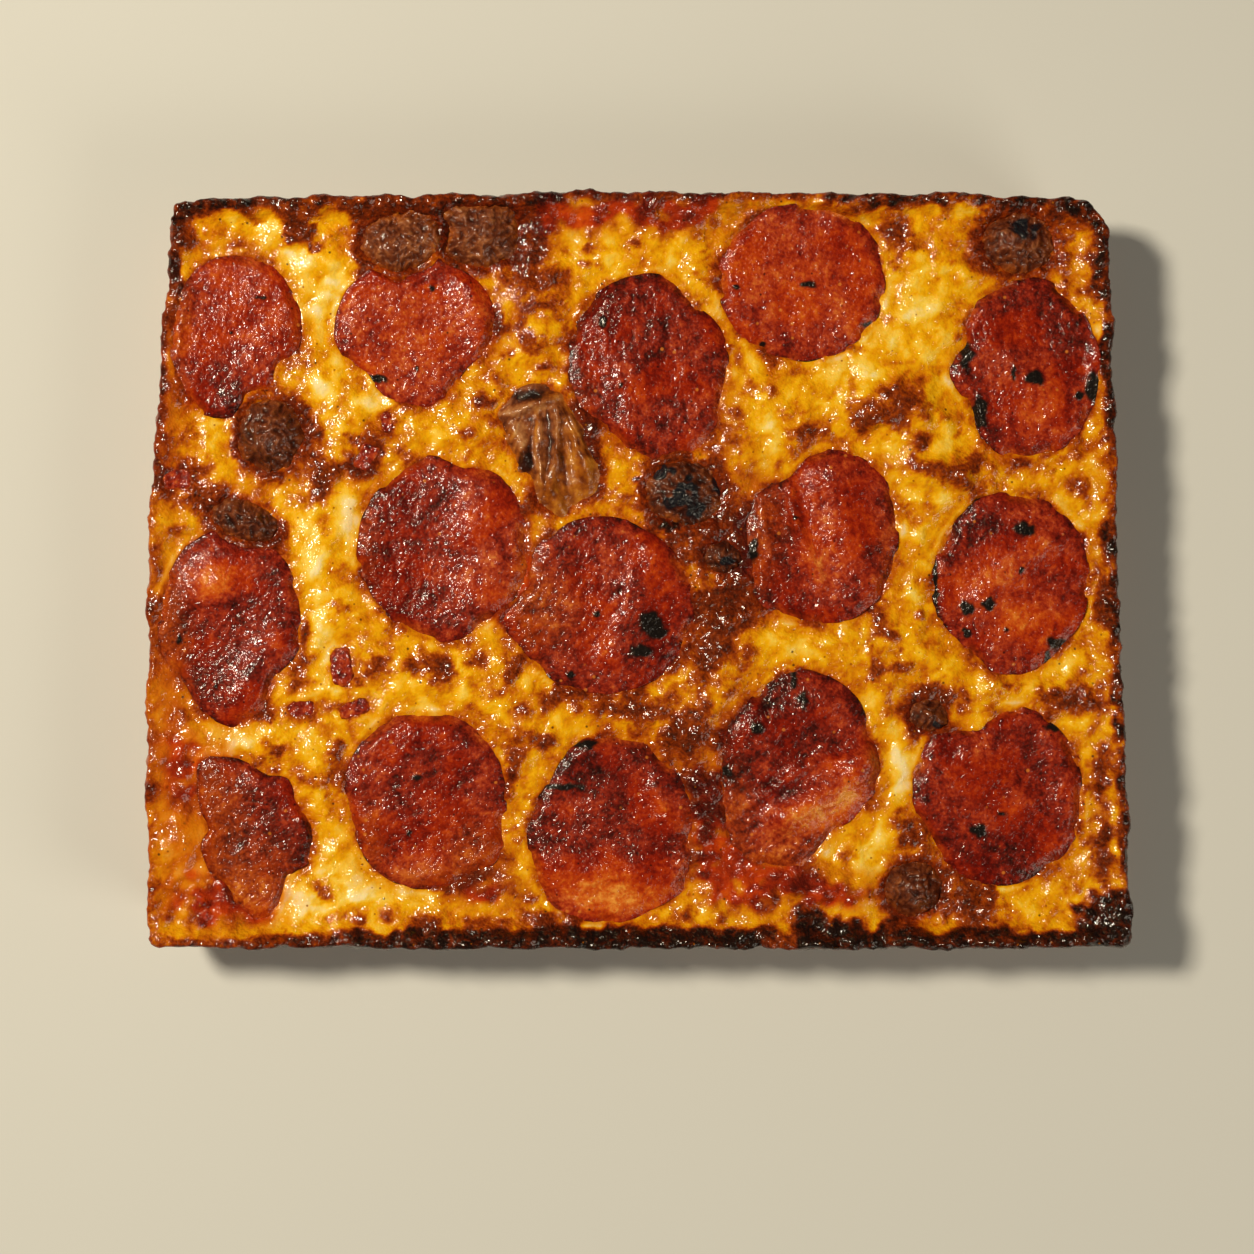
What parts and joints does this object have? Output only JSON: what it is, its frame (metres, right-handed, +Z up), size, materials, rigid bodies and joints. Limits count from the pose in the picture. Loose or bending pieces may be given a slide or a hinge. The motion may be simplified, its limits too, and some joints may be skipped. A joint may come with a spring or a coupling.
{
  "type": "pan-baked pizza",
  "caption": "Oblong deep-pan pizza, whole and uncut, with a browned cheese rim down its sides, pepperoni slices and browned sausage lumps. Served food that rests on its flat base.",
  "frame": {"origin": "middle of the flat underside, at the centre of the bounding box seen from above", "axes": "+X along the long side, +Y along the short side to the back, +Z up from the underside"},
  "size_m": [0.2563, 0.197, 0.033],
  "materials": {
    "baked_dough": "matte golden brown baked crumb crust",
    "browned_cheese": "oily melted cheese with browned blisters and a charred rim",
    "pepperoni_meat": "oily wrinkled cured meat",
    "browned_sausage": "rough dark browned meat",
    "roasted_mushroom": "wrinkled roasted brown",
    "crisp_bacon": "crisp dark red meat"
  },
  "bodies": {
    "root": {"crust": "baked_dough", "cheese": "browned_cheese", "pepperoni_01": "pepperoni_meat", "pepperoni_02": "pepperoni_meat", "pepperoni_03": "pepperoni_meat", "pepperoni_04": "pepperoni_meat", "pepperoni_05": "pepperoni_meat", "pepperoni_06": "pepperoni_meat", "pepperoni_07": "pepperoni_meat", "pepperoni_08": "pepperoni_meat", "pepperoni_09": "pepperoni_meat", "pepperoni_10": "pepperoni_meat", "pepperoni_11": "pepperoni_meat", "pepperoni_12": "pepperoni_meat", "pepperoni_13": "pepperoni_meat", "pepperoni_14": "pepperoni_meat", "pepperoni_15": "pepperoni_meat", "sausage_lump_1": "browned_sausage", "sausage_lump_2": "browned_sausage", "sausage_lump_3": "browned_sausage", "sausage_lump_4": "browned_sausage", "sausage_lump_5": "browned_sausage", "sausage_lump_6": "browned_sausage", "sausage_lump_7": "browned_sausage", "sausage_lump_8": "browned_sausage", "sausage_lump_9": "browned_sausage", "mushroom_slice": "roasted_mushroom", "meat_scrap_1": "crisp_bacon", "meat_scrap_2": "crisp_bacon", "meat_scrap_3": "crisp_bacon", "meat_scrap_4": "crisp_bacon", "meat_scrap_5": "crisp_bacon", "meat_scrap_6": "crisp_bacon"}
  },
  "joints": []
}
